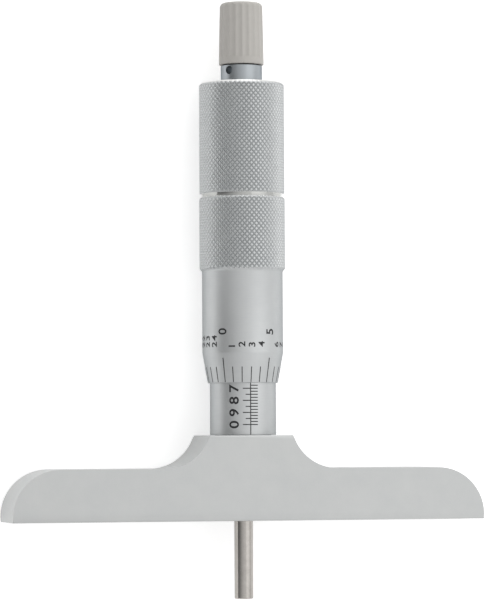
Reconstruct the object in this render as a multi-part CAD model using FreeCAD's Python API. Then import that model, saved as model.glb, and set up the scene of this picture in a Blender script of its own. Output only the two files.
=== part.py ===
import FreeCAD, Part
import math
import os

# Depth micrometer, 0-1 inch, with a T-shaped base and an interchangeable round rod.
# Millimetres.  The spindle axis is +Y, from the reference face towards the ratchet.
# +X runs along the base, and +Z is the graduated front.  The origin is the centre of the
# base's reference face, on the spindle axis.
# Every piece but the base is turned, so most profiles are (radius, height) pairs spun about Y.

# ---------------------------------------------------------------- driving dimensions

# base
base_length = 101.6
base_depth = 16.0
bar_height = 11.0
end_flat = 1.0
hump_height = 18.0
hump_top_width = 18.0
hump_fillet_radius = 10.0
base_edge_break = 0.35
seat_floor = 4.0
rod_hole_countersink = 0.3

# travel and the reading shown at rest
spindle_travel = 25.4
rod_reach = 16.586
full_reading_height = 20.24

# fits
seat_gap = 0.01
running_gap = 0.05
face_gap = 0.05
thimble_clearance = 0.15

# how far a cutter runs past the face that it cuts
cutter_overrun = 1.0

# measuring rod and its nuts
rod_radius = 2.0
rod_tip_break = 0.15
rod_thread_depth = 0.2
rod_thread_lead = 2.0
rod_tail = 2.0
rod_nut_flats = 6.6
rod_adjusting_nut_height = 3.5
rod_lock_nut_height = 2.4
rod_lock_nut_turn = 14.0

# spindle
spindle_wall = 2.35
spindle_foot_gap = 0.5
flange_rise = 1.9
flange_thickness = 1.0
flange_clearance = 1.886
neck_rise = 0.6
neck_length = 7.5

# inner sleeve and its adjusting nut
inner_sleeve_wall = 1.55
inner_sleeve_thread_depth = 0.6
thread_slot_count = 3
thread_slot_width = 0.6
thread_slot_depth = 9.0
thread_slot_turn = 60.0
adjusting_nut_wall = 1.14
adjusting_nut_height = 4.0
adjusting_nut_gap = 0.4
spanner_notch_count = 4
spanner_notch_width = 1.2
spanner_notch_depth = 0.9

# graduated sleeve
graduated_sleeve_wall = 0.96
sleeve_cover = 1.66
sleeve_spanner_hole_radius = 0.8
sleeve_spanner_hole_rise = 5.5

# thimble
thimble_lip = 0.25
thimble_wall = 1.42
thimble_cone_length = 6.25
thimble_plain_length = 17.38
shoulder_length = 0.65
knurl_rise = 0.52
web_thickness = 5.5
groove_depth = 0.7
groove_lower_width = 0.8
groove_upper_width = 0.5
lock_nut_wall = 1.6
lock_nut_height = 2.2

# clamp cap
cap_step = 0.06
cap_recess_gap = 0.3
cap_roof = 5.95
cap_corner_height = 0.6
cap_corner_width = 0.5
spring_seat_thickness = 0.8
spring_seat_gap = 0.1
spring_runs_per_turn = 12
rod_spring_space = 3.7
rod_spring_wire = 0.7
rod_spring_turns = 2.5

# ratchet stop
stub_radius = 2.5
stub_length = 5.3
collar_radius = 4.39
collar_length = 3.6
collar_hole_radius = 0.85
collar_hole_depth = 1.9
collar_hole_drop = 1.1
collar_hole_turn = 51.0
shank_radius = 2.2
key_pin_radius = 0.5
key_pin_rise = 0.6
ratchet_spring_space = 2.9
ratchet_spring_wire = 0.5
ratchet_spring_turns = 2.5
clutch_ring_wall = 1.45
clutch_ring_height = 2.6
tooth_count = 12
tooth_height = 0.5
tooth_share = 0.92
tooth_gap = 0.1
sleeve_foot_gap = 0.25
ratchet_cavity_gap = 0.2
ratchet_web = 3.0
end_play = 0.1
washer_thickness = 0.4
screw_radius = 1.0
screw_head_radius = 2.0
screw_head_height = 1.6
screw_length = 4.8
screw_slot_width = 0.5
screw_slot_depth = 0.7
screw_hole_extra = 0.6
head_recess = 1.8
head_well_gap = 0.9
ratchet_foot_radius = 4.77
ratchet_top_radius = 4.53
ratchet_top_round = 1.0
ratchet_round_steps = 3
flute_count = 20
flute_radius = 1.2
flute_depth = 0.16
flute_foot_rise = 1.55
flute_turn = 17.0

# ---------------------------------------------------------------- derived sizes

# radii, from the rod outwards
spindle_bore_radius = rod_radius + running_gap
spindle_radius = spindle_bore_radius + spindle_wall
inner_sleeve_bore_radius = spindle_radius + running_gap
inner_sleeve_radius = inner_sleeve_bore_radius + inner_sleeve_wall
inner_sleeve_thread_radius = inner_sleeve_radius - inner_sleeve_thread_depth
graduated_sleeve_bore_radius = inner_sleeve_radius + running_gap - seat_gap
graduated_sleeve_radius = graduated_sleeve_bore_radius + graduated_sleeve_wall
thimble_bore_radius = graduated_sleeve_radius + thimble_clearance
thimble_lip_radius = thimble_bore_radius + thimble_lip
thimble_radius = thimble_bore_radius + thimble_wall
thimble_knurl_radius = thimble_radius + knurl_rise
cap_knurl_radius = thimble_knurl_radius - cap_step
groove_radius = thimble_knurl_radius - groove_depth
flange_radius = spindle_radius + flange_rise
neck_radius = spindle_radius + neck_rise
lock_nut_radius = neck_radius + lock_nut_wall
rod_nut_radius = rod_nut_flats / math.sqrt(3.0)
cap_bore_radius = neck_radius + seat_gap
clutch_ring_bore_radius = shank_radius + running_gap
clutch_ring_radius = clutch_ring_bore_radius + clutch_ring_wall
ratchet_cavity_radius = clutch_ring_radius + ratchet_cavity_gap
head_well_radius = screw_head_radius + head_well_gap

# heights of what stays with the base
sleeve_top = full_reading_height + spindle_travel + sleeve_cover
adjusting_nut_foot = sleeve_top + adjusting_nut_gap
inner_sleeve_top = adjusting_nut_foot + adjusting_nut_height

# heights of what travels with the thimble, at the reading shown at rest
travel_left = spindle_travel - rod_reach
thimble_edge = full_reading_height + travel_left
spindle_foot = seat_floor + travel_left + spindle_foot_gap
flange_foot = inner_sleeve_top + flange_clearance + travel_left
web_foot = flange_foot + flange_thickness
parting_height = web_foot + web_thickness
spindle_top = parting_height + neck_length
rod_nut_foot = spindle_top + face_gap
rod_lock_nut_foot = rod_nut_foot + rod_adjusting_nut_height
rod_lock_nut_top = rod_lock_nut_foot + rod_lock_nut_height
rod_top = rod_lock_nut_top + rod_tail
spring_seat_foot = rod_lock_nut_top + spring_seat_gap
spring_seat_top = spring_seat_foot + spring_seat_thickness
cap_cavity_top = spring_seat_top + rod_spring_space
cap_top = cap_cavity_top + cap_roof
collar_top = cap_top + collar_length
clutch_ring_foot = collar_top + ratchet_spring_space
ring_tooth_root = clutch_ring_foot + clutch_ring_height
ring_tooth_crest = ring_tooth_root + tooth_height
sleeve_tooth_crest = ring_tooth_crest + tooth_gap
sleeve_tooth_root = sleeve_tooth_crest + tooth_height
ratchet_web_top = sleeve_tooth_root + ratchet_web
shank_top = ratchet_web_top + end_play
washer_top = shank_top + washer_thickness
screw_head_top = washer_top + screw_head_height
ratchet_foot = collar_top + sleeve_foot_gap
ratchet_top = screw_head_top + head_recess

AXIS = FreeCAD.Vector(0, 1, 0)
ORIGIN = FreeCAD.Vector(0, 0, 0)


# ---------------------------------------------------------------- shaping operations

def vec(x, y, z=0.0):
    return FreeCAD.Vector(x, y, z)


def around(radius, degrees, height):
    """A point at this angle round the axis, counted from the front (+Z) towards +X."""
    angle = math.radians(degrees)
    return FreeCAD.Vector(radius * math.sin(angle), height, radius * math.cos(angle))


def turned(corners):
    """A solid of revolution about Y from a closed profile of (radius, height) corners."""
    wire = Part.makePolygon([vec(r, h) for r, h in corners + corners[:1]])
    return Part.Face(wire).revolve(ORIGIN, AXIS, 360)


def tube(inner, outer, foot, top):
    return turned([(inner, foot), (outer, foot), (outer, top), (inner, top)])


def rod(radius, foot, top):
    return Part.makeCylinder(radius, top - foot, vec(0, foot), AXIS)


def repeated(shape, count, start=0.0):
    """Copies of a shape spaced evenly round the axis."""
    copies = []
    for index in range(count):
        copy = shape.copy()
        copy.rotate(ORIGIN, AXIS, start + index * 360.0 / count)
        copies.append(copy)
    return copies


def spanner_notches(outer, top):
    """Cutters for the square notches that a pin spanner takes, in a ring nut's top face."""
    notch = Part.makeBox(
        spanner_notch_width,
        2.0 * spanner_notch_depth,
        outer,
        vec(-spanner_notch_width / 2.0, top - spanner_notch_depth, outer - spanner_notch_depth),
    )
    return repeated(notch, spanner_notch_count)


def hex_nut(bore, foot, height, turn):
    corners = [around(rod_nut_radius, turn + 60.0 * k, foot) for k in range(7)]
    prism = Part.Face(Part.makePolygon(corners)).extrude(vec(0, height))
    return prism.cut(rod(bore, foot - cutter_overrun, foot + height + cutter_overrun))


def coil_spring(inner, wire, foot, top, turns):
    """A compression spring from foot to top, its six-sided wire bent in short straight runs."""
    mean = inner + wire / 2.0
    start = foot + wire / 2.0 + face_gap
    rise = top - foot - wire - 2.0 * face_gap
    runs = round(turns * spring_runs_per_turn)
    path = [around(mean, 360.0 * turns * k / runs, start + rise * k / runs) for k in range(runs + 1)]
    section = []
    for side in range(7):
        angle = math.radians(60.0 * side)
        section.append(vec(0, start + wire / 2.0 * math.sin(angle), mean + wire / 2.0 * math.cos(angle)))
    return Part.makePolygon(path).makePipeShell([Part.makePolygon(section)], True, False, 1)


def saw_tooth(inner, outer, root, crest, hand):
    """One face tooth: a steep side that drives and a long flat slope that slips."""
    sink = tooth_height if crest > root else -tooth_height
    run = hand * tooth_share * 2.0 * math.pi * outer / tooth_count
    corners = [
        vec(0, root - sink, inner),
        vec(0, crest, inner),
        vec(run, root, inner),
        vec(run, root - sink, inner),
    ]
    return Part.Face(Part.makePolygon(corners + corners[:1])).extrude(vec(0, 0, outer - inner))


def crown_teeth(inner, outer, root, crest, hand):
    """A full crown of saw teeth, trimmed to a ring between two radii."""
    tooth = saw_tooth(inner - tooth_height, outer + tooth_height, root, crest, hand)
    teeth = repeated(tooth, tooth_count)
    low = min(root, crest) - tooth_height
    high = max(root, crest) + tooth_height
    return teeth[0].multiFuse(teeth[1:]).common(tube(inner, outer, low, high))


# ---------------------------------------------------------------- base

def make_base():
    """The hardened T-shaped base: a bar with rounded ends and a hump that holds the sleeve."""
    half = base_length / 2.0
    hump = hump_top_width / 2.0
    end_radius = bar_height - end_flat
    end_x = half - end_radius
    fillet_y = bar_height + hump_fillet_radius
    drop = fillet_y - hump_height
    fillet_x = hump + math.sqrt(hump_fillet_radius ** 2 - drop ** 2)
    end_middle = end_radius * math.sqrt(0.5)
    # the middle of the hollow flank lies halfway between its two ends' directions
    top_angle = math.atan2(-drop, hump - fillet_x)
    foot_angle = -math.pi / 2.0
    middle_angle = (top_angle % (2.0 * math.pi) + foot_angle % (2.0 * math.pi)) / 2.0
    middle_x = fillet_x + hump_fillet_radius * math.cos(middle_angle)
    middle_y = fillet_y + hump_fillet_radius * math.sin(middle_angle)
    edges = [Part.makeLine(vec(-half, 0), vec(half, 0))]
    for side in (1.0, -1.0):
        end = Part.Arc(
            vec(side * half, end_flat),
            vec(side * (end_x + end_middle), end_flat + end_middle),
            vec(side * end_x, bar_height),
        )
        flank = Part.Arc(
            vec(side * fillet_x, bar_height),
            vec(side * middle_x, middle_y),
            vec(side * hump, hump_height),
        )
        edges.append(Part.makeLine(vec(side * half, 0), vec(side * half, end_flat)))
        edges.append(end.toShape())
        edges.append(Part.makeLine(vec(side * end_x, bar_height), vec(side * fillet_x, bar_height)))
        edges.append(flank.toShape())
    edges.append(Part.makeLine(vec(-hump, hump_height), vec(hump, hump_height)))
    outline = Part.Wire(Part.__sortEdges__(edges))
    block = Part.Face(outline).extrude(vec(0, 0, base_depth))
    block.translate(vec(0, 0, -base_depth / 2.0))
    rims = []
    for edge in block.Edges:
        box = edge.BoundBox
        if abs(box.ZMax - box.ZMin) < 1e-4:
            rims.append(edge)
    block = block.makeChamfer(base_edge_break, rims)
    hole = rod_radius + running_gap
    mouth = hole + rod_hole_countersink
    bore = turned([
        (0, -cutter_overrun),
        (mouth, -cutter_overrun),
        (mouth, 0),
        (hole, rod_hole_countersink),
        (hole, seat_floor),
        (inner_sleeve_radius + seat_gap, seat_floor),
        (inner_sleeve_radius + seat_gap, hump_height + cutter_overrun),
        (0, hump_height + cutter_overrun),
    ])
    return block.cut(bore)


# ---------------------------------------------------------------- sleeve group

def make_inner_sleeve():
    """The long nut pressed into the base: bored below, threaded and slotted at the top."""
    body = turned([
        (inner_sleeve_bore_radius, seat_floor),
        (inner_sleeve_radius, seat_floor),
        (inner_sleeve_radius, sleeve_top),
        (inner_sleeve_thread_radius, sleeve_top),
        (inner_sleeve_thread_radius, inner_sleeve_top),
        (inner_sleeve_bore_radius, inner_sleeve_top),
    ])
    slot = Part.makeBox(
        thread_slot_width,
        thread_slot_depth + cutter_overrun,
        inner_sleeve_radius + cutter_overrun,
        vec(-thread_slot_width / 2.0, inner_sleeve_top - thread_slot_depth, 0),
    )
    return body.cut(Part.makeCompound(repeated(slot, thread_slot_count, thread_slot_turn)))


def make_thread_adjusting_nut():
    """The ring nut that closes the slotted thread to take up its play."""
    bore = inner_sleeve_thread_radius + seat_gap
    outer = bore + adjusting_nut_wall
    ring = tube(bore, outer, adjusting_nut_foot, inner_sleeve_top)
    return ring.cut(Part.makeCompound(spanner_notches(outer, inner_sleeve_top)))


def make_graduated_sleeve():
    """The thin outer sleeve that carries the scale, with the zero-setting spanner hole behind."""
    foot = hump_height + face_gap
    shell = tube(graduated_sleeve_bore_radius, graduated_sleeve_radius, foot, sleeve_top)
    hole = Part.makeCylinder(
        sleeve_spanner_hole_radius,
        graduated_sleeve_radius + cutter_overrun,
        vec(0, hump_height + sleeve_spanner_hole_rise),
        vec(0, 0, -1),
    )
    return shell.cut(hole)


# ---------------------------------------------------------------- rod group

def make_measuring_rod():
    """The round rod: lapped flat at the tip and threaded at the tail for its two nuts."""
    thread = rod_radius - rod_thread_depth
    return turned([
        (0, -rod_reach),
        (rod_radius - rod_tip_break, -rod_reach),
        (rod_radius, -rod_reach + rod_tip_break),
        (rod_radius, rod_nut_foot - rod_thread_lead),
        (thread, rod_nut_foot - rod_thread_lead),
        (thread, rod_top),
        (0, rod_top),
    ])


def make_rod_adjusting_nut():
    bore = rod_radius - rod_thread_depth + seat_gap
    return hex_nut(bore, rod_nut_foot, rod_adjusting_nut_height, 0.0)


def make_rod_lock_nut():
    bore = rod_radius - rod_thread_depth + seat_gap
    return hex_nut(bore, rod_lock_nut_foot, rod_lock_nut_height, rod_lock_nut_turn)


# ---------------------------------------------------------------- thimble group

def make_spindle():
    """The hollow lead screw, with the flange that the thimble seats on and a threaded neck."""
    return turned([
        (spindle_bore_radius, spindle_foot),
        (spindle_radius, spindle_foot),
        (spindle_radius, flange_foot),
        (flange_radius, flange_foot),
        (flange_radius, web_foot),
        (neck_radius, web_foot),
        (neck_radius, spindle_top),
        (spindle_bore_radius, spindle_top),
    ])


def make_thimble():
    """The thimble: a bevelled scale edge, a plain barrel, the lower knurl and an inner web."""
    cone_top = thimble_edge + thimble_cone_length
    plain_top = cone_top + thimble_plain_length
    return turned([
        (thimble_bore_radius, thimble_edge),
        (thimble_lip_radius, thimble_edge),
        (thimble_radius, cone_top),
        (thimble_radius, plain_top),
        (thimble_knurl_radius, plain_top + shoulder_length),
        (thimble_knurl_radius, parting_height - groove_lower_width),
        (groove_radius, parting_height),
        (neck_radius + seat_gap, parting_height),
        (neck_radius + seat_gap, web_foot),
        (thimble_bore_radius, web_foot),
    ])


def make_thimble_lock_nut():
    """The ring nut that clamps the thimble's web down onto the spindle's flange."""
    top = parting_height + lock_nut_height
    ring = tube(neck_radius + seat_gap, lock_nut_radius, parting_height, top)
    return ring.cut(Part.makeCompound(spanner_notches(lock_nut_radius, top)))


def make_clamp_cap():
    """The tall knurled cap that screws onto the spindle's neck and holds the rod down."""
    recess = lock_nut_radius + cap_recess_gap
    recess_top = parting_height + lock_nut_height + cap_recess_gap
    return turned([
        (recess, parting_height),
        (groove_radius, parting_height),
        (cap_knurl_radius, parting_height + groove_upper_width),
        (cap_knurl_radius, cap_top - cap_corner_height),
        (cap_knurl_radius - cap_corner_width, cap_top),
        (stub_radius + seat_gap, cap_top),
        (stub_radius + seat_gap, cap_cavity_top),
        (cap_bore_radius, cap_cavity_top),
        (cap_bore_radius, recess_top),
        (recess, recess_top),
    ])


def make_rod_spring_seat():
    """The washer that passes the spring's load to the rod's lock nut."""
    outer = cap_bore_radius - cap_recess_gap
    return tube(rod_radius + running_gap, outer, spring_seat_foot, spring_seat_top)


def make_rod_spring():
    inner = rod_radius + cap_recess_gap
    return coil_spring(inner, rod_spring_wire, spring_seat_top, cap_cavity_top, rod_spring_turns)


# ---------------------------------------------------------------- ratchet stop

def make_ratchet_body():
    """The stud of the ratchet stop: a threaded stub, the collar and the shank."""
    key_height = clutch_ring_foot + key_pin_rise
    body = turned([
        (0, cap_top - stub_length),
        (stub_radius, cap_top - stub_length),
        (stub_radius, cap_top),
        (collar_radius, cap_top),
        (collar_radius, collar_top),
        (shank_radius, collar_top),
        (shank_radius, shank_top),
        (0, shank_top),
    ])
    spanner_hole = Part.makeCylinder(
        collar_hole_radius,
        collar_hole_depth + cutter_overrun,
        around(collar_radius - collar_hole_depth, -collar_hole_turn, collar_top - collar_hole_drop),
        around(1.0, -collar_hole_turn, 0),
    )
    screw_hole_foot = washer_top - screw_length - screw_hole_extra
    screw_hole = rod(screw_radius + seat_gap, screw_hole_foot, shank_top + cutter_overrun)
    key_hole = Part.makeCylinder(
        key_pin_radius + seat_gap,
        2.0 * (shank_radius + cutter_overrun),
        vec(-shank_radius - cutter_overrun, key_height),
        vec(1, 0, 0),
    )
    return body.cut(Part.makeCompound([spanner_hole, screw_hole, key_hole]))


def make_clutch_key_pin():
    """The cross pin that keeps the clutch ring from turning on the shank."""
    half = clutch_ring_radius - ratchet_cavity_gap
    key_height = clutch_ring_foot + key_pin_rise
    return Part.makeCylinder(key_pin_radius, 2.0 * half, vec(-half, key_height), vec(1, 0, 0))


def make_ratchet_spring():
    inner = shank_radius + running_gap + ratchet_cavity_gap
    return coil_spring(inner, ratchet_spring_wire, collar_top, clutch_ring_foot, ratchet_spring_turns)


def make_clutch_ring():
    """The sliding ring of the ratchet: saw teeth above, and a keyway that straddles the pin."""
    ring = tube(clutch_ring_bore_radius, clutch_ring_radius, clutch_ring_foot, ring_tooth_root)
    teeth = crown_teeth(clutch_ring_bore_radius, clutch_ring_radius, ring_tooth_root, ring_tooth_crest, 1.0)
    ring = ring.fuse(teeth).removeSplitter()
    width = 2.0 * (key_pin_radius + seat_gap)
    keyway = Part.makeBox(
        4.0 * clutch_ring_radius,
        2.0 * key_pin_rise + tooth_height,
        width,
        vec(-2.0 * clutch_ring_radius, clutch_ring_foot - tooth_height / 2.0, -width / 2.0),
    )
    return ring.cut(keyway)


def make_ratchet_sleeve():
    """The fluted grey sleeve that the fingers turn, with the mating crown of teeth inside."""
    height = ratchet_top - ratchet_foot
    corner = []
    for step in range(ratchet_round_steps + 1):
        angle = math.radians(90.0 * step / ratchet_round_steps)
        corner.append((
            ratchet_top_radius - ratchet_top_round * (1.0 - math.cos(angle)),
            ratchet_top - ratchet_top_round * (1.0 - math.sin(angle)),
        ))
    outer = turned([
        (0, ratchet_foot),
        (ratchet_foot_radius, ratchet_foot),
    ] + corner + [(0, ratchet_top)])
    slope = (ratchet_top_radius - ratchet_foot_radius) / (height - ratchet_top_round)
    flute_foot = ratchet_foot + flute_foot_rise
    foot_radius = ratchet_foot_radius + slope * flute_foot_rise
    flute = Part.makeCylinder(
        flute_radius,
        height,
        around(foot_radius + flute_radius - flute_depth, 0, flute_foot),
        vec(0, 1, slope),
    )
    outer = outer.cut(Part.makeCompound(repeated(flute, flute_count, flute_turn)))
    hollow = turned([
        (0, ratchet_foot - cutter_overrun),
        (ratchet_cavity_radius, ratchet_foot - cutter_overrun),
        (ratchet_cavity_radius, sleeve_tooth_root),
        (shank_radius + running_gap, sleeve_tooth_root),
        (shank_radius + running_gap, ratchet_web_top),
        (head_well_radius, ratchet_web_top),
        (head_well_radius, ratchet_top + cutter_overrun),
        (0, ratchet_top + cutter_overrun),
    ])
    shell = outer.cut(hollow)
    teeth = crown_teeth(
        clutch_ring_bore_radius, ratchet_cavity_radius, sleeve_tooth_root, sleeve_tooth_crest, -1.0
    )
    return shell.fuse(teeth).removeSplitter()


def make_ratchet_washer():
    """The washer on the shank's end that keeps the fluted sleeve from lifting off."""
    return tube(screw_radius + seat_gap, head_well_radius - ratchet_cavity_gap, shank_top, washer_top)


def make_ratchet_screw():
    """The slotted screw, sunk in the sleeve's end, that holds the ratchet stop together."""
    screw = turned([
        (0, washer_top - screw_length),
        (screw_radius, washer_top - screw_length),
        (screw_radius, washer_top),
        (screw_head_radius, washer_top),
        (screw_head_radius, screw_head_top),
        (0, screw_head_top),
    ])
    slot = Part.makeBox(
        4.0 * screw_head_radius,
        2.0 * screw_slot_depth,
        screw_slot_width,
        vec(-2.0 * screw_head_radius, screw_head_top - screw_slot_depth, -screw_slot_width / 2.0),
    )
    return screw.cut(slot)


# ---------------------------------------------------------------- output

PIECES = {
    "base": make_base,
    "inner_sleeve": make_inner_sleeve,
    "thread_adjusting_nut": make_thread_adjusting_nut,
    "graduated_sleeve": make_graduated_sleeve,
    "measuring_rod": make_measuring_rod,
    "rod_adjusting_nut": make_rod_adjusting_nut,
    "rod_lock_nut": make_rod_lock_nut,
    "spindle": make_spindle,
    "thimble": make_thimble,
    "thimble_lock_nut": make_thimble_lock_nut,
    "clamp_cap": make_clamp_cap,
    "rod_spring_seat": make_rod_spring_seat,
    "rod_spring": make_rod_spring,
    "ratchet_body": make_ratchet_body,
    "clutch_key_pin": make_clutch_key_pin,
    "ratchet_spring": make_ratchet_spring,
    "clutch_ring": make_clutch_ring,
    "ratchet_sleeve": make_ratchet_sleeve,
    "ratchet_washer": make_ratchet_washer,
    "ratchet_screw": make_ratchet_screw,
}

os.makedirs("parts", exist_ok=True)
for node, make in PIECES.items():
    shape = make()
    if not shape.isValid() or shape.Volume <= 0:
        raise ValueError(node + " is not a valid solid")
    shape.exportStep("parts/" + node + ".step")
    print(node, len(shape.Solids), "solid(s)", round(shape.Volume, 3), "mm3")
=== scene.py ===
import math

import bmesh
import bpy
from mathutils import Matrix, Vector


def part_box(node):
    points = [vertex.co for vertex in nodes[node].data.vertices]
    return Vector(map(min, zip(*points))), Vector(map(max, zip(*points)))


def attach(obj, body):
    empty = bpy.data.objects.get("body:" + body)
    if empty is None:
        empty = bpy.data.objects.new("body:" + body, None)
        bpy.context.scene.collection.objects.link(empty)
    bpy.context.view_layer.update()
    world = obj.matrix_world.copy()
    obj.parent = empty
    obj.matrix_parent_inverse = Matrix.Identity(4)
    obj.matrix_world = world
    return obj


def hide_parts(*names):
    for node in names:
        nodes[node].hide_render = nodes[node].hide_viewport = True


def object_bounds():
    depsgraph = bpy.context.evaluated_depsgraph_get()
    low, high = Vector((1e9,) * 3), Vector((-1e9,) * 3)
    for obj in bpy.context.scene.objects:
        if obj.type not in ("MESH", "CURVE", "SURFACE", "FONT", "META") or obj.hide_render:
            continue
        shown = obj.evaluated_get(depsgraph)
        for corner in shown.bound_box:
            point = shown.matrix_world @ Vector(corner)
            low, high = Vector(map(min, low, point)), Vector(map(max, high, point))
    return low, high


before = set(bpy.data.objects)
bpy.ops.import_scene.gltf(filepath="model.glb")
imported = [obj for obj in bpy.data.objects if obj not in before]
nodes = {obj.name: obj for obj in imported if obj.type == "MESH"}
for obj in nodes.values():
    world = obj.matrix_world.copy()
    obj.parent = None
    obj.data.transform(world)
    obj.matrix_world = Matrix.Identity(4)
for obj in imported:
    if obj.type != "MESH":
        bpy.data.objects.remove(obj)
cad_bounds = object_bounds()

# A depth micrometer lying on its back: the spindle axis is +Y, the graduated front faces +Z.
# Meshes are drawn in millimetres and brought to metres when each piece is finished.
MM = 0.001


# ================================================================ base
# The T-shaped base: one hardened steel forging, ground all over and satin chrome plated,
# with its reference face lapped.  The sleeve is pressed into the hump, and the rod comes
# out through a small countersunk hole in the reference face.

def span(node):
    """Lowest and highest corner of a frame node, in millimetres."""
    low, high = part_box(node)
    return low / MM, high / MM


base_high = span("base")[1]
half_length = base_high.x
hump_height = base_high.y
half_depth = base_high.z
bar_height = 11.0
end_flat = 1.0
half_hump_width = 9.0
hump_fillet_radius = 10.0
edge_break = 0.3
arc_steps = 24
rod_radius = span("measuring_rod")[1].x
rod_hole_gap = 0.05
rod_hole_radius = rod_radius + rod_hole_gap
rod_hole_countersink = 0.3
seat_radius = span("inner_sleeve")[1].x
seat_floor = span("inner_sleeve")[0].y
bore_segments = 96
# How far a cutter runs past the face that it cuts; the countersink keeps its 45 degrees.
cutter_overrun = 1.0
countersink_overrun = 2.0
merge_distance = 0.0005
sharp_angle = 30.0


def arc(centre, radius, start, stop, steps):
    """Points along an arc in the XY plane, with the angles in degrees from +X."""
    points = []
    for step in range(steps + 1):
        angle = math.radians(start + (stop - start) * step / steps)
        points.append((centre[0] + radius * math.cos(angle), centre[1] + radius * math.sin(angle)))
    return points


def base_outline():
    """The front view of the base, anticlockwise from the right end of the reference face."""
    end_radius = bar_height - end_flat
    end_x = half_length - end_radius
    fillet_y = bar_height + hump_fillet_radius
    drop = fillet_y - hump_height
    fillet_x = half_hump_width + math.sqrt(hump_fillet_radius ** 2 - drop ** 2)
    top_angle = math.degrees(math.atan2(-drop, half_hump_width - fillet_x))
    right = [(half_length, 0.0)]
    right += arc((end_x, end_flat), end_radius, 0.0, 90.0, arc_steps)
    right += arc((fillet_x, fillet_y), hump_fillet_radius, -90.0, top_angle, arc_steps)
    return right + [(-x, y) for x, y in reversed(right)]


def turned(corners, segments, radius_limit=None):
    """A closed mesh spun about Y from a closed profile of (radius, height) corners.
    radius_limit, if given, may lower the radius at an angle and height, for flutes."""
    mesh = bmesh.new()
    rings = []
    for radius, height in corners:
        if radius < 1e-6:
            rings.append([mesh.verts.new((0.0, height, 0.0))])
            continue
        ring = []
        for step in range(segments):
            angle = 2.0 * math.pi * step / segments
            reach = radius if radius_limit is None else radius_limit(radius, height, angle)
            ring.append(mesh.verts.new((reach * math.sin(angle), height, reach * math.cos(angle))))
        rings.append(ring)
    for ring, following in zip(rings, rings[1:] + rings[:1]):
        for step in range(segments):
            after = (step + 1) % segments
            corners_here = [
                ring[step % len(ring)],
                ring[after % len(ring)],
                following[after % len(following)],
                following[step % len(following)],
            ]
            distinct = list(dict.fromkeys(corners_here))
            if len(distinct) > 2:
                mesh.faces.new(distinct)
    return mesh


def eased(corners, size, steps=3):
    """The profile with each corner rounded by up to this size."""
    softened = []
    count = len(corners)
    for index in range(count):
        corner = Vector(corners[index])
        before = Vector(corners[index - 1]) - corner
        after = Vector(corners[(index + 1) % count]) - corner
        reach = min(size, 0.4 * before.length, 0.4 * after.length)
        if corner.x < 1e-6 or reach < 0.005:
            softened.append(tuple(corner))
            continue
        first = corner + before.normalized() * reach
        last = corner + after.normalized() * reach
        for step in range(steps + 1):
            share = step / steps
            point = (1 - share) ** 2 * first + 2 * share * (1 - share) * corner + share ** 2 * last
            softened.append((point.x, point.y))
    return softened


def finished(name, mesh, materials, sharp=sharp_angle):
    """The named piece from a mesh in millimetres: outward faces, metres, smooth but for its edges."""
    bmesh.ops.remove_doubles(mesh, verts=mesh.verts, dist=merge_distance)
    bmesh.ops.recalc_face_normals(mesh, faces=mesh.faces)
    bmesh.ops.scale(mesh, vec=(MM, MM, MM), verts=mesh.verts)
    data = bpy.data.meshes.new(name)
    mesh.to_mesh(data)
    mesh.free()
    data.shade_smooth()
    data.set_sharp_from_angle(angle=math.radians(sharp))
    for material in materials:
        data.materials.append(material)
    made = bpy.data.objects.new(name, data)
    bpy.context.scene.collection.objects.link(made)
    return made


def cut_away(piece, cutter_mesh):
    """Takes the cutter's shape, in millimetres, out of the piece."""
    cutter = finished("cutter", cutter_mesh, [])
    cut = piece.modifiers.new("cut", "BOOLEAN")
    cut.operation = "DIFFERENCE"
    cut.solver = "EXACT"
    cut.object = cutter
    shape = piece.evaluated_get(bpy.context.evaluated_depsgraph_get())
    result = bpy.data.meshes.new_from_object(shape)
    piece.modifiers.remove(cut)
    piece.data = result
    result.set_sharp_from_angle(angle=math.radians(sharp_angle))
    bpy.data.objects.remove(cutter)


def srgb(code):
    """An sRGB hex colour as the linear colour that a shader takes."""
    channels = [int(code[i:i + 2], 16) / 255.0 for i in (1, 3, 5)]
    linear = [c / 12.92 if c <= 0.04045 else ((c + 0.055) / 1.055) ** 2.4 for c in channels]
    return (*linear, 1.0)


def add(tree, kind, inputs, **settings):
    """One node with its settings; each input is a value or the output that feeds it."""
    made = tree.nodes.new(kind)
    for key, value in settings.items():
        setattr(made, key, value)
    for socket, value in inputs.items():
        if isinstance(value, bpy.types.NodeSocket):
            tree.links.new(value, made.inputs[socket])
        else:
            made.inputs[socket].default_value = value
    return made


def per_metre(size_mm):
    """A pattern's scale from the real size of its grain in millimetres."""
    return 1.0 / (size_mm * MM)


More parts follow.
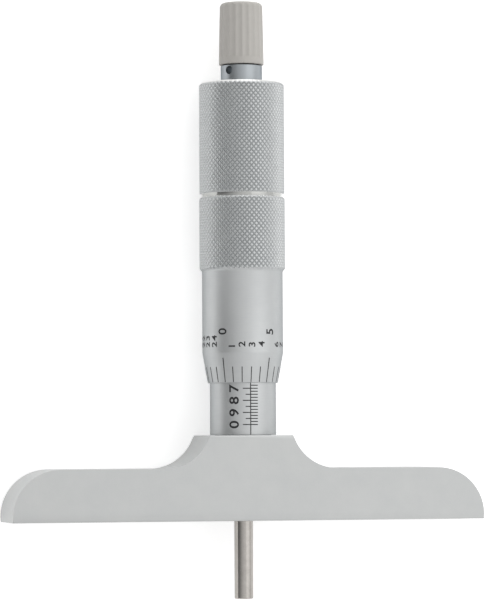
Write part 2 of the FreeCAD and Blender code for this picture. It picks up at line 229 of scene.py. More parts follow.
def satin_metal(name, dark, light, roughness, cloud_mm, grain_mm, lay, edge="#FFFFFF", relief=0.012,
                metallic=1.0):
    """A metal surface with cloudy tone, a fine grain stretched along its lay, and uneven gloss.
    lay is the Mapping scale that stretches the grain, such as (0.02, 1, 0.02) for turned work."""
    material = bpy.data.materials.new(name)
    material.use_nodes = True
    tree = material.node_tree
    tree.nodes.clear()
    place = add(tree, "ShaderNodeTexCoord", {}).outputs["Object"]
    clouds = add(tree, "ShaderNodeTexNoise",
                 {"Vector": place, "Scale": per_metre(cloud_mm), "Detail": 4.0, "Roughness": 0.6})
    tone = add(tree, "ShaderNodeMix", {0: clouds.outputs["Fac"], 6: srgb(dark), 7: srgb(light)},
               data_type="RGBA")
    stretched = add(tree, "ShaderNodeMapping", {"Vector": place, "Scale": lay})
    grain = add(tree, "ShaderNodeTexNoise",
                {"Vector": stretched.outputs[0], "Scale": per_metre(grain_mm), "Detail": 3.0,
                 "Roughness": 0.7})
    gloss = add(tree, "ShaderNodeMapRange",
                {"Value": grain.outputs["Fac"], "From Min": 0.3, "From Max": 0.7,
                 "To Min": roughness - 0.06, "To Max": roughness + 0.06})
    ripple = add(tree, "ShaderNodeBump",
                 {"Height": grain.outputs["Fac"], "Strength": 0.35, "Distance": relief * MM})
    surface = add(tree, "ShaderNodeBsdfPrincipled",
                  {"Base Color": tone.outputs[2], "Metallic": metallic,
                   "Roughness": gloss.outputs["Result"], "Normal": ripple.outputs["Normal"],
                   "Specular Tint": srgb(edge)})
    add(tree, "ShaderNodeOutputMaterial", {"Surface": surface.outputs[0]})
    return material


# Satin chrome over ground steel: pale, slightly cool, matt enough to blur what it reflects,
# with soft clouds a few millimetres wide and a fine blasted grain.  The true grain is about
# 0.05 mm; it is drawn at 0.22 mm so that it shows.
base_chrome = satin_metal("satin_chrome_on_ground_steel", "#C1C3C3", "#CBCCCB", 0.44, 5.0, 0.22,
                          (1.0, 1.0, 1.0), relief=0.02)
# The lapped reference face: brighter and closer to a mirror.
lapped_face = satin_metal("lapped_steel", "#C9CAC9", "#D8D8D6", 0.2, 6.0, 0.12, (0.05, 1.0, 1.0),
                          relief=0.004)

outline = base_outline()
block = bmesh.new()
front = [block.verts.new((x, y, half_depth)) for x, y in outline]
back = [block.verts.new((x, y, -half_depth)) for x, y in outline]
block.faces.new(front)
block.faces.new(list(reversed(back)))
for here in range(len(outline)):
    there = (here + 1) % len(outline)
    block.faces.new([front[here], back[here], back[there], front[there]])
rims = [e for e in block.edges if abs(e.verts[0].co.z - e.verts[1].co.z) < 1e-6]
bmesh.ops.bevel(block, geom=rims, offset=edge_break, segments=3, profile=0.5, affect="EDGES",
                clamp_overlap=True)
base = finished("base_block", block, [base_chrome, lapped_face], sharp=40.0)
bore = [
    (0.0, -countersink_overrun),
    (rod_hole_radius + rod_hole_countersink + countersink_overrun, -countersink_overrun),
    (rod_hole_radius, rod_hole_countersink),
    (rod_hole_radius, seat_floor),
    (seat_radius, seat_floor),
    (seat_radius, hump_height + cutter_overrun),
    (0.0, hump_height + cutter_overrun),
]
cut_away(base, turned(bore, bore_segments))
lapped_depth = 0.1
lapped_tilt = -0.95
for face in base.data.polygons:
    if face.normal.y < lapped_tilt and face.center.y < lapped_depth * MM:
        face.material_index = 1
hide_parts("base")
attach(base, "base_unit")


# ================================================================ graduated sleeve
# A thin turned steel tube over the inner sleeve, satin chrome plated.  Its lines and figures
# are engraved and filled with black enamel.  A pin spanner hole at the back sets its zero.

sleeve_low, sleeve_high = span("graduated_sleeve")
sleeve_radius = sleeve_high.x
sleeve_foot = sleeve_low.y
sleeve_top = sleeve_high.y
sleeve_wall = 0.96
sleeve_bore_radius = sleeve_radius - sleeve_wall
sleeve_edge_break = 0.12
spanner_hole_radius = 0.8
spanner_hole_rise = 5.5
spanner_hole_height = hump_height + spanner_hole_rise

# Satin chrome over turned steel: as the base, with the faint rings that the tool left.
turned_chrome = satin_metal("satin_chrome_on_turned_steel", "#C6C8C9", "#CFD1D1", 0.45, 3.0, 0.2,
                            (0.05, 1.0, 0.05), edge="#B4B8BA")

sleeve_profile = eased([
    (sleeve_bore_radius, sleeve_foot),
    (sleeve_radius, sleeve_foot),
    (sleeve_radius, sleeve_top),
    (sleeve_bore_radius, sleeve_top),
], sleeve_edge_break)
sleeve = finished("graduated_tube", turned(sleeve_profile, 160), [turned_chrome])
hole_foot = -sleeve_radius - cutter_overrun
hole_head = -sleeve_bore_radius + cutter_overrun
hole = turned([(0.0, hole_foot), (spanner_hole_radius, hole_foot),
               (spanner_hole_radius, hole_head), (0.0, hole_head)], 32)
quarter_turn = Matrix.Rotation(math.pi / 2, 3, "X")
bmesh.ops.rotate(hole, verts=hole.verts, cent=(0, 0, 0), matrix=quarter_turn)
bmesh.ops.translate(hole, verts=hole.verts, vec=(0.0, spanner_hole_height, 0.0))
cut_away(sleeve, hole)
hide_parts("graduated_sleeve")
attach(sleeve, "scale_sleeve")

# Black enamel wiped into the engraving: nearly flat black with a dull skin, a little uneven
# where it has sunk.
enamel = bpy.data.materials.new("black_filler_enamel")
enamel.use_nodes = True
enamel.node_tree.nodes.clear()
spread = add(enamel.node_tree, "ShaderNodeTexNoise",
             {"Vector": add(enamel.node_tree, "ShaderNodeTexCoord", {}).outputs["Object"],
              "Scale": per_metre(0.3), "Detail": 2.0})
blackness = add(enamel.node_tree, "ShaderNodeMix",
                {0: spread.outputs["Fac"], 6: srgb("#131415"), 7: srgb("#2A2B2D")}, data_type="RGBA")
skin = add(enamel.node_tree, "ShaderNodeBsdfPrincipled",
           {"Base Color": blackness.outputs[2], "Roughness": 0.6, "IOR": 1.5})
add(enamel.node_tree, "ShaderNodeOutputMaterial", {"Surface": skin.outputs[0]})

line_width = 0.2
engraving_depth = 0.03
enamel_crown = 0.01
line_thickness = engraving_depth + enamel_crown
figure_stroke = 0.018
figure_spacing = 1.15


def graduation_tree():
    """Ruling: equal steps of lines laid flat, with every so many drawn longer."""
    tree = bpy.data.node_groups.new("ruled_lines", "GeometryNodeTree")
    face = tree.interface
    for label, kind in (("Count", "NodeSocketInt"), ("Every", "NodeSocketInt"),
                        ("Start", "NodeSocketVector"), ("Step", "NodeSocketVector"),
                        ("Anchor", "NodeSocketVector"), ("Short line", "NodeSocketVector"),
                        ("Long line", "NodeSocketVector"), ("Enamel", "NodeSocketMaterial")):
        face.new_socket(label, in_out="INPUT", socket_type=kind)
    face.new_socket("Lines", in_out="OUTPUT", socket_type="NodeSocketGeometry")
    given = add(tree, "NodeGroupInput", {}).outputs
    points = add(tree, "GeometryNodeMeshLine",
                 {"Count": given["Count"], "Start Location": given["Start"], "Offset": given["Step"]},
                 mode="OFFSET", count_mode="TOTAL")
    number = add(tree, "GeometryNodeInputIndex", {})
    left_over = add(tree, "ShaderNodeMath", {0: number.outputs[0], 1: given["Every"]},
                    operation="MODULO")
    is_long = add(tree, "FunctionNodeCompare", {0: left_over.outputs[0], 1: 0.5},
                  data_type="FLOAT", operation="LESS_THAN")
    size = add(tree, "GeometryNodeSwitch",
               {"Switch": is_long.outputs[0], "False": given["Short line"], "True": given["Long line"]},
               input_type="VECTOR")
    line = add(tree, "GeometryNodeMeshCube", {"Size": (1.0, 1.0, 1.0)})
    anchored = add(tree, "GeometryNodeTransform",
                   {"Geometry": line.outputs["Mesh"], "Translation": given["Anchor"]})
    laid = add(tree, "GeometryNodeInstanceOnPoints",
               {"Points": points.outputs["Mesh"], "Instance": anchored.outputs[0],
                "Scale": size.outputs[0]})
    real = add(tree, "GeometryNodeRealizeInstances", {"Geometry": laid.outputs[0]})
    filled = add(tree, "GeometryNodeSetMaterial",
                 {"Geometry": real.outputs[0], "Material": given["Enamel"]})
    add(tree, "NodeGroupOutput", {"Lines": filled.outputs[0]})
    return tree


def grown(tree, values):
    """The mesh that a tree grows from these named inputs."""
    seed = bpy.data.objects.new("seed", bpy.data.meshes.new("seed"))
    bpy.context.scene.collection.objects.link(seed)
    grower = seed.modifiers.new("grower", "NODES")
    grower.node_group = tree
    for item in tree.interface.items_tree:
        if item.in_out == "INPUT" and item.name in values:
            grower[item.identifier] = values[item.name]
    shape = seed.evaluated_get(bpy.context.evaluated_depsgraph_get())
    data = bpy.data.meshes.new_from_object(shape)
    seed.modifiers.remove(grower)
    bpy.data.objects.remove(seed)
    mesh = bmesh.new()
    mesh.from_mesh(data)
    bpy.data.meshes.remove(data)
    return mesh


def figure_mesh(text):
    """The flat outline of a number, in its own units."""
    curve = bpy.data.curves.new("figure", "FONT")
    curve.body = text
    curve.extrude = 0.5 * line_thickness
    curve.offset = figure_stroke
    curve.space_character = figure_spacing
    holder = bpy.data.objects.new("figure", curve)
    bpy.context.scene.collection.objects.link(holder)
    shape = holder.evaluated_get(bpy.context.evaluated_depsgraph_get())
    data = bpy.data.meshes.new_from_object(shape)
    bpy.data.objects.remove(holder)
    mesh = bmesh.new()
    mesh.from_mesh(data)
    low = Vector([min(v.co[k] for v in mesh.verts) for k in range(3)])
    high = Vector([max(v.co[k] for v in mesh.verts) for k in range(3)])
    return mesh, low, high


def figure(text, height, width, foot, across):
    """A number, read upwards along the axis from its foot, laid flat with its middle across.
    Its height, and the width that a nought has, are given."""
    nought, nought_low, nought_high = figure_mesh("0")
    nought.free()
    mesh, low, high = figure_mesh(text)
    middle_now = (low + high) / 2.0
    tall = height / (nought_high.y - nought_low.y)
    wide = width / (nought_high.x - nought_low.x)
    for vertex in mesh.verts:
        flat_x = (vertex.co.x - low.x) * wide
        flat_y = (vertex.co.y - middle_now.y) * tall
        rise = (vertex.co.z - middle_now.z) + 0.5 * (enamel_crown - engraving_depth)
        vertex.co = (across - flat_y, foot + flat_x, rise)
    return mesh


def gathered(meshes):
    """All these meshes as one."""
    whole = bmesh.new()
    for mesh in meshes:
        data = bpy.data.meshes.new("part")
        mesh.to_mesh(data)
        mesh.free()
        whole.from_mesh(data)
        bpy.data.meshes.remove(data)
    return whole


def wrapped(mesh, flat_radius, radius_at, step=0.3):
    """Bends flat work round the axis: x runs round from the front, y along, and z outwards.
    flat_radius is where x keeps its length; radius_at gives the surface's radius at a height."""
    lowest = min(v.co.x for v in mesh.verts)
    highest = max(v.co.x for v in mesh.verts)
    for cut in range(math.floor(lowest / step) + 1, math.ceil(highest / step)):
        parts = mesh.verts[:] + mesh.edges[:] + mesh.faces[:]
        bmesh.ops.bisect_plane(mesh, geom=parts, plane_co=(cut * step, 0, 0), plane_no=(1, 0, 0))
    for vertex in mesh.verts:
        across, along, rise = vertex.co
        radius = radius_at(along)
        angle = across / flat_radius
        reach = radius + rise
        vertex.co = (reach * math.sin(angle), along, reach * math.cos(angle))
    return mesh


# The inch scale: a line every 0.025 inch on the right, every second one on the left, and a
# figure every 0.1 inch.
scale_foot = 20.24
scale_step = 0.635
scale_lines = 41
left_scale_lines = scale_lines // 2 + 1
right_line_length = 1.6
left_short_length = 1.05
left_long_length = 1.65
index_foot_gap = 0.1
index_head_gap = 0.2
index_length = sleeve_top - sleeve_foot - index_foot_gap - index_head_gap
tenths = 10
lines_per_tenth = 4
sleeve_figure_height = 2.1
sleeve_figure_width = 1.6
sleeve_figure_across = -3.55
ruling = graduation_tree()
right_lines = grown(ruling, {
    "Count": scale_lines, "Every": 1,
    "Start": (0.0, scale_foot, 0.0), "Step": (0.0, scale_step, 0.0), "Anchor": (0.5, 0.0, 0.0),
    "Short line": (right_line_length, line_width, line_thickness),
    "Long line": (right_line_length, line_width, line_thickness), "Enamel": enamel})
left_lines = grown(ruling, {
    "Count": left_scale_lines, "Every": 2,
    "Start": (0.0, scale_foot, 0.0), "Step": (0.0, 2.0 * scale_step, 0.0), "Anchor": (-0.5, 0.0, 0.0),
    "Short line": (left_short_length, line_width, line_thickness),
    "Long line": (left_long_length, line_width, line_thickness), "Enamel": enamel})
index_line = grown(ruling, {
    "Count": 1, "Every": 1,
    "Start": (0.0, sleeve_foot + index_foot_gap, 0.0), "Step": (0.0, 1.0, 0.0),
    "Anchor": (0.0, 0.5, 0.0), "Short line": (line_width, 1.0, line_thickness),
    "Long line": (line_width, index_length, line_thickness), "Enamel": enamel})
figures = []
for tenth in range(tenths + 1):
    label = str((tenths - tenth) % 10)
    middle = scale_foot + lines_per_tenth * tenth * scale_step
    figures.append(figure(label, sleeve_figure_height, sleeve_figure_width,
                          middle - 0.5 * sleeve_figure_width, sleeve_figure_across))
sleeve_scale = gathered([right_lines, left_lines, index_line] + figures)
wrapped(sleeve_scale, sleeve_radius, lambda height: sleeve_radius)
scale = finished("sleeve_scale", sleeve_scale, [enamel])
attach(scale, "scale_sleeve")


# ================================================================ measuring rod
# The interchangeable rod: hardened steel, centreless ground and polished, its tip lapped flat.
# It screws to its two nuts at the tail, so that its length can be set.

rod_low, rod_high = span("measuring_rod")
rod_nut_foot = span("rod_adjusting_nut")[0].y
rod_thread_depth = 0.2
rod_thread_lead = 2.0
rod_thread_radius = rod_radius - rod_thread_depth
rod_thread_foot = rod_nut_foot - rod_thread_lead
rod_tip_break = 0.15
rod_edge_break = 0.05

# Polished tool steel: a warm grey near-mirror with hair-fine rings from the grinding wheel.
# The true rings are some microns wide; they are drawn at 0.1 mm so that they show.
polished_steel = satin_metal("polished_tool_steel", "#A9A5A0", "#C4C0BB", 0.16, 2.0, 0.1,
                             (0.03, 1.0, 0.03), relief=0.004)

rod_profile = eased([
    (0.0, rod_low.y),
    (rod_radius - rod_tip_break, rod_low.y),
    (rod_radius, rod_low.y + rod_tip_break),
    (rod_radius, rod_thread_foot),
    (rod_thread_radius, rod_thread_foot),
    (rod_thread_radius, rod_high.y),
    (0.0, rod_high.y),
], rod_edge_break)
rod = finished("ground_rod", turned(rod_profile, 96), [polished_steel])
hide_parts("measuring_rod")
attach(rod, "rod_unit")


# ================================================================ thimble
# The thimble: one turned steel barrel with a bevelled, graduated edge and a diamond knurl
# above, satin chrome plated.  The groove that parts it from the cap is left bright.

thimble_low, thimble_high = span("thimble")
thimble_edge = thimble_low.y
parting_height = thimble_high.y
knurl_radius = thimble_high.x
thimble_clearance = 0.15
thimble_lip_wall = 0.25
thimble_wall = 1.42
thimble_cone_length = 6.25
thimble_plain_length = 17.38
shoulder_length = 0.65
groove_bevel_length = 0.8
groove_depth = 0.7
web_thickness = 5.5
lock_nut_wall = 1.6
thimble_bore_radius = sleeve_radius + thimble_clearance
thimble_lip_radius = thimble_bore_radius + thimble_lip_wall
barrel_radius = thimble_bore_radius + thimble_wall
cone_top = thimble_edge + thimble_cone_length
barrel_top = cone_top + thimble_plain_length
shoulder_top = barrel_top + shoulder_length
lower_knurl_top = parting_height - groove_bevel_length
groove_radius = knurl_radius - groove_depth
web_foot = parting_height - web_thickness
lock_nut_radius = span("thimble_lock_nut")[1].x
web_bore_radius = lock_nut_radius - lock_nut_wall

knurl_starts = 55
knurl_pitch = 1.13
knurl_relief = 0.22
crest_share = 0.5
knurl_sharp_angle = 24.0

# Chrome over cut knurling, with a tight shine on each small face. Its colour is paler than the barrel's,
# as painted brightness that stands in for the light the knurl's many faces catch.
knurl_chrome_painted_bright = satin_metal("satin_chrome_on_knurling_painted_bright", "#E2E4E4", "#ECEEEE", 0.3, 2.0, 0.14,
                           (1.0, 1.0, 1.0), relief=0.006)
# Bright turned steel of the groove and the end faces, cut after plating: a clean, sharper shine.
bright_turned = satin_metal("bright_turned_steel", "#D6D7D6", "#E4E4E2", 0.17, 3.0, 0.08,
                            (0.04, 1.0, 0.04), relief=0.004)


def knurl_tree():
    """A field of four-sided knurl points, staggered by half a step, laid flat."""
    tree = bpy.data.node_groups.new("diamond_knurl", "GeometryNodeTree")
    face = tree.interface
    for label, kind in (("Columns", "NodeSocketInt"), ("Rows", "NodeSocketInt"),
                        ("Column width", "NodeSocketFloat"), ("Row height", "NodeSocketFloat"),
                        ("Relief", "NodeSocketFloat"), ("Crest share", "NodeSocketFloat"),
                        ("Metal", "NodeSocketMaterial")):
        face.new_socket(label, in_out="INPUT", socket_type=kind)
    face.new_socket("Knurl", in_out="OUTPUT", socket_type="NodeSocketGeometry")
    given = add(tree, "NodeGroupInput", {}).outputs
    across = add(tree, "ShaderNodeCombineXYZ", {0: given["Column width"]})
    along = add(tree, "ShaderNodeCombineXYZ", {1: given["Row height"]})
    row = add(tree, "GeometryNodeMeshLine", {"Count": given["Columns"], "Offset": across.outputs[0]},
              mode="OFFSET", count_mode="TOTAL")
    column = add(tree, "GeometryNodeMeshLine", {"Count": given["Rows"], "Offset": along.outputs[0]},
                 mode="OFFSET", count_mode="TOTAL")
    rows = add(tree, "GeometryNodeInstanceOnPoints",
               {"Points": column.outputs[0], "Instance": row.outputs[0]})
    points = add(tree, "GeometryNodeRealizeInstances", {"Geometry": rows.outputs[0]})
    half = add(tree, "ShaderNodeCombineXYZ", {0: given["Column width"], 1: given["Row height"]})
    half_step = add(tree, "ShaderNodeVectorMath", {0: half.outputs[0], 1: (0.5, 0.5, 0.5)},
                    operation="MULTIPLY")
    staggered = add(tree, "GeometryNodeTransform",
                    {"Geometry": points.outputs[0], "Translation": half_step.outputs[0]})
    field = add(tree, "GeometryNodeJoinGeometry", {"Geometry": points.outputs[0]})
    tree.links.new(staggered.outputs[0], field.inputs[0])
    diamond = add(tree, "GeometryNodeMeshCone",
                  {"Vertices": 4, "Radius Top": given["Crest share"], "Radius Bottom": 1.0,
                   "Depth": 1.0}, fill_type="NGON")
    facing = add(tree, "ShaderNodeSeparateXYZ", {0: add(tree, "GeometryNodeInputNormal", {}).outputs[0]})
    underside = add(tree, "FunctionNodeCompare", {0: facing.outputs[2], 1: -0.5},
                    data_type="FLOAT", operation="LESS_THAN")
    point = add(tree, "GeometryNodeDeleteGeometry",
                {"Geometry": diamond.outputs["Mesh"], "Selection": underside.outputs[0]},
                domain="FACE")
    size = add(tree, "ShaderNodeCombineXYZ",
               {0: add(tree, "ShaderNodeMath", {0: given["Column width"], 1: 0.5},
                       operation="MULTIPLY").outputs[0],
                1: add(tree, "ShaderNodeMath", {0: given["Row height"], 1: 0.5},
                       operation="MULTIPLY").outputs[0],
                2: given["Relief"]})
    planted = add(tree, "GeometryNodeInstanceOnPoints",
                  {"Points": field.outputs[0], "Instance": point.outputs[0],
                   "Scale": size.outputs[0]})
    real = add(tree, "GeometryNodeRealizeInstances", {"Geometry": planted.outputs[0]})
    metal = add(tree, "GeometryNodeSetMaterial",
                {"Geometry": real.outputs[0], "Material": given["Metal"]})
    add(tree, "NodeGroupOutput", {"Knurl": metal.outputs[0]})
    return tree


def height_on(bevel, height):
    """The radius of a bevel, given as two (radius, height) ends, at a height."""
    (radius_a, height_a), (radius_b, height_b) = bevel
    share = (height - height_a) / (height_b - height_a)
    return radius_a + (radius_b - radius_a) * share


def height_at(bevel, radius):
    """The height at which a bevel, given as two (radius, height) ends, has a radius."""
    (radius_a, height_a), (radius_b, height_b) = bevel
    return height_a + (height_b - height_a) * ((radius - radius_a) / (radius_b - radius_a))


def knurled(radius, lower_bevel, upper_bevel, rest_of_profile, bright_rings):
    """A turned piece with a knurled band.  The knurl runs out through a bevel at each end.
    rest_of_profile goes on from the lower bevel round the piece to the upper one, and the
    faces that lead to its points numbered in bright_rings are left bright."""
    valley = radius - knurl_relief
    foot = height_at(lower_bevel, valley)
    top = height_at(upper_bevel, valley)
    column_width = 2.0 * math.pi * radius / knurl_starts
    rows = math.ceil((top - foot) / knurl_pitch) + 2
    mesh = grown(knurl_tree(), {
        "Columns": knurl_starts, "Rows": rows, "Column width": column_width,
        "Row height": knurl_pitch, "Relief": knurl_relief, "Crest share": crest_share,
        "Metal": knurl_chrome_painted_bright})
    bmesh.ops.remove_doubles(mesh, verts=mesh.verts, dist=0.002)
    bmesh.ops.translate(mesh, verts=mesh.verts, vec=(0.0, foot - 0.6 * knurl_pitch, 0.0))
    for height, outward, keep in ((foot, -1, False), (lower_bevel[1][1], -1, True),
                                  (upper_bevel[0][1], 1, True), (top, 1, False)):
        parts = mesh.verts[:] + mesh.edges[:] + mesh.faces[:]
        bmesh.ops.bisect_plane(mesh, geom=parts, plane_co=(0, height, 0), plane_no=(0, outward, 0),
                               clear_outer=not keep)
    for vertex in mesh.verts:
        angle = vertex.co.x / radius
        height = vertex.co.y
        reach = valley + vertex.co.z
        if height < lower_bevel[1][1]:
            reach = min(reach, height_on(lower_bevel, height))
        if height > upper_bevel[0][1]:
            reach = min(reach, height_on(upper_bevel, height))
        vertex.co = (reach * math.sin(angle), height, reach * math.cos(angle))
    bmesh.ops.remove_doubles(mesh, verts=mesh.verts, dist=0.004)
    open_edges = [e for e in mesh.edges if len(e.link_faces) == 1]
    middle = (foot + top) / 2.0
    loop = [e for e in open_edges if e.verts[0].co.y < middle]
    upper_loop = [e for e in open_edges if e.verts[0].co.y > middle]
    for place, (ring_radius, ring_height) in enumerate(rest_of_profile):
        grown_ring = bmesh.ops.extrude_edge_only(mesh, edges=loop)["geom"]
        for vertex in [g for g in grown_ring if isinstance(g, bmesh.types.BMVert)]:
            angle = math.atan2(vertex.co.x, vertex.co.z)
            vertex.co = (ring_radius * math.sin(angle), ring_height, ring_radius * math.cos(angle))
        for face in [g for g in grown_ring if isinstance(g, bmesh.types.BMFace)]:
            face.material_index = 1 + int(place in bright_rings)
        loop = [g for g in grown_ring if isinstance(g, bmesh.types.BMEdge)]
    bridge = bmesh.ops.bridge_loops(mesh, edges=loop + upper_loop)
    for face in bridge["faces"]:
        face.material_index = 2
    return mesh


shoulder = ((barrel_radius, barrel_top), (knurl_radius, shoulder_top))
lower_groove = ((knurl_radius, lower_knurl_top), (groove_radius, parting_height))
# Points set close together round the edges over.
thimble_profile = [
    (barrel_radius + 0.03, barrel_top + 0.04),
    (barrel_radius, barrel_top - 0.04),
    (barrel_radius, cone_top + 0.3),
    (barrel_radius - 0.01, cone_top + 0.1),
    (barrel_radius - 0.05, cone_top - 0.15),
    (thimble_lip_radius + 0.02, thimble_edge + 0.11),
    (thimble_lip_radius - 0.01, thimble_edge + 0.03),
    (thimble_lip_radius - 0.06, thimble_edge),
    (thimble_bore_radius, thimble_edge),
    (thimble_bore_radius, web_foot),
    (web_bore_radius, web_foot),
    (web_bore_radius, parting_height),
    (groove_radius, parting_height),
]
thimble_mesh = knurled(knurl_radius, shoulder, lower_groove, thimble_profile, {11, 12})
thimble = finished("thimble_barrel", thimble_mesh, [knurl_chrome_painted_bright, turned_chrome, bright_turned],
                   sharp=knurl_sharp_angle)
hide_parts("thimble")
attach(thimble, "thimble_unit")


def thimble_surface(height):
    """The radius of the bevelled edge, and of the barrel above it."""
    return min(barrel_radius, height_on(
        ((thimble_lip_radius, thimble_edge), (barrel_radius, cone_top)), height))


divisions = 25
division_at_rest = 3
divisions_per_figure = 5
division_step = 2.0 * math.pi * barrel_radius / divisions
division_foot = thimble_edge + 0.12
division_short_length = 3.25
division_long_length = 5.1
small_figure_foot = thimble_edge + 7.5
small_figure_height = 1.45
small_figure_width = 1.15
large_figure_foot = thimble_edge + 10.1
large_figure_height = 1.95
large_figure_width = 1.35
first_line = -division_at_rest * division_step
edge_lines = grown(ruling, {
    "Count": divisions, "Every": divisions_per_figure,
    "Start": (first_line, division_foot, 0.0), "Step": (division_step, 0.0, 0.0),
    "Anchor": (0.0, 0.5, 0.0), "Short line": (line_width, division_short_length, line_thickness),
    "Long line": (line_width, division_long_length, line_thickness), "Enamel": enamel})
edge_figures = []
for division in range(divisions):
    across = first_line + division * division_step
    if division % divisions_per_figure == 0:
        edge_figures.append(figure(str(division), large_figure_height, large_figure_width,
                                   large_figure_foot, across))
    else:
        edge_figures.append(figure(str(division), small_figure_height, small_figure_width,
                                   small_figure_foot, across))
edge_scale = wrapped(gathered([edge_lines] + edge_figures), barrel_radius, thimble_surface)
edge_marks = finished("thimble_scale", edge_scale, [enamel])
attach(edge_marks, "thimble_unit")


# ================================================================ clamp cap
# The tall knurled cap: turned and knurled steel, satin chrome plated, with bright bevels.
# It screws onto the spindle's neck and clamps the rod down through the spring inside.

cap_high = span("clamp_cap")[1]
cap_radius = cap_high.x
cap_top = cap_high.y
recess_gap = 0.3
recess_radius = lock_nut_radius + recess_gap
recess_top = span("thimble_lock_nut")[1].y + recess_gap
cap_bore_radius = web_bore_radius
cap_end_thickness = 5.95
cavity_top = cap_top - cap_end_thickness
stub_hole_radius = 2.51
upper_groove_length = 0.5
cap_corner_length = 0.6
cap_corner_inset = 0.5
upper_groove = ((groove_radius, parting_height), (cap_radius, parting_height + upper_groove_length))
cap_corner = ((cap_radius, cap_top - cap_corner_length), (cap_radius - cap_corner_inset, cap_top))
cap_profile = [
    (groove_radius, parting_height),
    (recess_radius, parting_height),
    (recess_radius, recess_top),
    (cap_bore_radius, recess_top),
    (cap_bore_radius, cavity_top),
    (stub_hole_radius, cavity_top),
    (stub_hole_radius, cap_top),
    (cap_radius - cap_corner_inset - 0.1, cap_top),
    (cap_radius - cap_corner_inset, cap_top - 0.02),
]
cap_mesh = knurled(cap_radius, upper_groove, cap_corner, cap_profile, {0, 1, 7, 8})
cap = finished("clamp_cap_barrel", cap_mesh, [knurl_chrome_painted_bright, turned_chrome, bright_turned],
               sharp=knurl_sharp_angle)
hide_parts("clamp_cap")
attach(cap, "thimble_unit")


# ================================================================ ratchet collar
# The fixed body of the ratchet: a short steel collar screwed into the cap by its stub, with a
# blind hole for the pin spanner, and a thin shank above that carries the fluted sleeve.

body_low, body_high = span("ratchet_body")
collar_radius = body_high.x
collar_height = 3.6
collar_top = cap_top + collar_height
stub_radius = 2.5
shank_radius = 2.2
collar_hole_radius = 0.85
collar_hole_depth = 1.9
collar_hole_bevel = 0.12
collar_hole_drop = 1.1
collar_hole_height = collar_top - collar_hole_drop
collar_edge_break = 0.08
drill_overrun = 0.48
collar_hole_turn = -51.0

# Blued-grey satin steel: darker and cooler than the chrome, finely turned.
collar_steel = satin_metal("satin_turned_collar_steel", "#A6ABAF", "#B8BDC0", 0.36, 1.6, 0.1,
                           (0.05, 1.0, 0.05), edge="#A8ADB2")

collar_profile = eased([
    (0.0, body_low.y),
    (stub_radius, body_low.y),
    (stub_radius, cap_top),
    (collar_radius, cap_top),
    (collar_radius, collar_top),
    (shank_radius, collar_top),
    (shank_radius, body_high.y),
    (0.0, body_high.y),
], collar_edge_break)
collar = finished("ratchet_collar", turned(collar_profile, 128), [collar_steel])
drill_foot = collar_radius - collar_hole_depth
drill_head = collar_radius + drill_overrun
drill = turned([
    (0.0, drill_foot),
    (collar_hole_radius, drill_foot),
    (collar_hole_radius, collar_radius - collar_hole_bevel),
    (collar_hole_radius + collar_hole_bevel + drill_overrun, drill_head),
    (0.0, drill_head),
], 48)
bmesh.ops.rotate(drill, verts=drill.verts, cent=(0, 0, 0), matrix=quarter_turn)
bmesh.ops.rotate(drill, verts=drill.verts, cent=(0, 0, 0),
                 matrix=Matrix.Rotation(math.radians(collar_hole_turn), 3, "Y"))
bmesh.ops.translate(drill, verts=drill.verts, vec=(0.0, collar_hole_height, 0.0))
cut_away(collar, drill)
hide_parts("ratchet_body")
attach(collar, "thimble_unit")


# ================================================================ ratchet sleeve
# The finger grip of the ratchet: a slightly tapered, fluted sleeve in warm grey, moulded and
# matt, with a plain band at its foot and an open well at the top for the screw.

grip_low, grip_high = span("ratchet_sleeve")
grip_foot_radius = 4.77
grip_top_radius = 4.53
grip_round = 1.0
grip_round_steps = 8
grip_edge_break = 0.12
flute_count = 20
flute_radius = 1.2
flute_depth = 0.16
segments_per_flute = 16
plain_band_height = 1.55
flute_foot = grip_low.y + plain_band_height
flute_turn = 17.0
flute_sharp_angle = 26.0
screw_gap = 0.9
clutch_gap = 0.2
shank_hole_radius = shank_radius + 0.05
well_edge_break = 0.08
well_radius = span("ratchet_screw")[1].x + screw_gap
well_floor = span("ratchet_washer")[0].y
cavity_radius = span("clutch_ring")[1].x + clutch_gap
cavity_roof = span("clutch_ring")[1].y + clutch_gap

# Warm grey moulded acetal with a fine matt texture: a soft broad shine and no mirror.
grip_grey = satin_metal("warm_grey_moulded_acetal", "#B4B1AC", "#BDBAB5", 0.5, 1.4, 0.12,
                        (1.0, 0.15, 1.0), metallic=0.0)


def grip_radius(height):
    """The radius of the tapered grip at a height."""
    share = (height - grip_low.y) / (grip_high.y - grip_low.y)
    return grip_foot_radius + (grip_top_radius - grip_foot_radius) * share


def fluted(radius, height, angle):
    """The radius of a grip ring once the flutes are cut: inner and lower rings are left round."""
    if radius < well_radius + 0.3 or height < flute_foot + 1e-4:
        return radius
    pitch = 2.0 * math.pi / flute_count
    nearest = math.radians(flute_turn) + pitch * round((angle - math.radians(flute_turn)) / pitch)
    aside = grip_radius(height) * abs(angle - nearest)
    if aside >= flute_radius:
        return radius
    rise = flute_radius - math.sqrt(flute_radius ** 2 - aside ** 2)
    return min(radius, grip_radius(height) - flute_depth + rise)


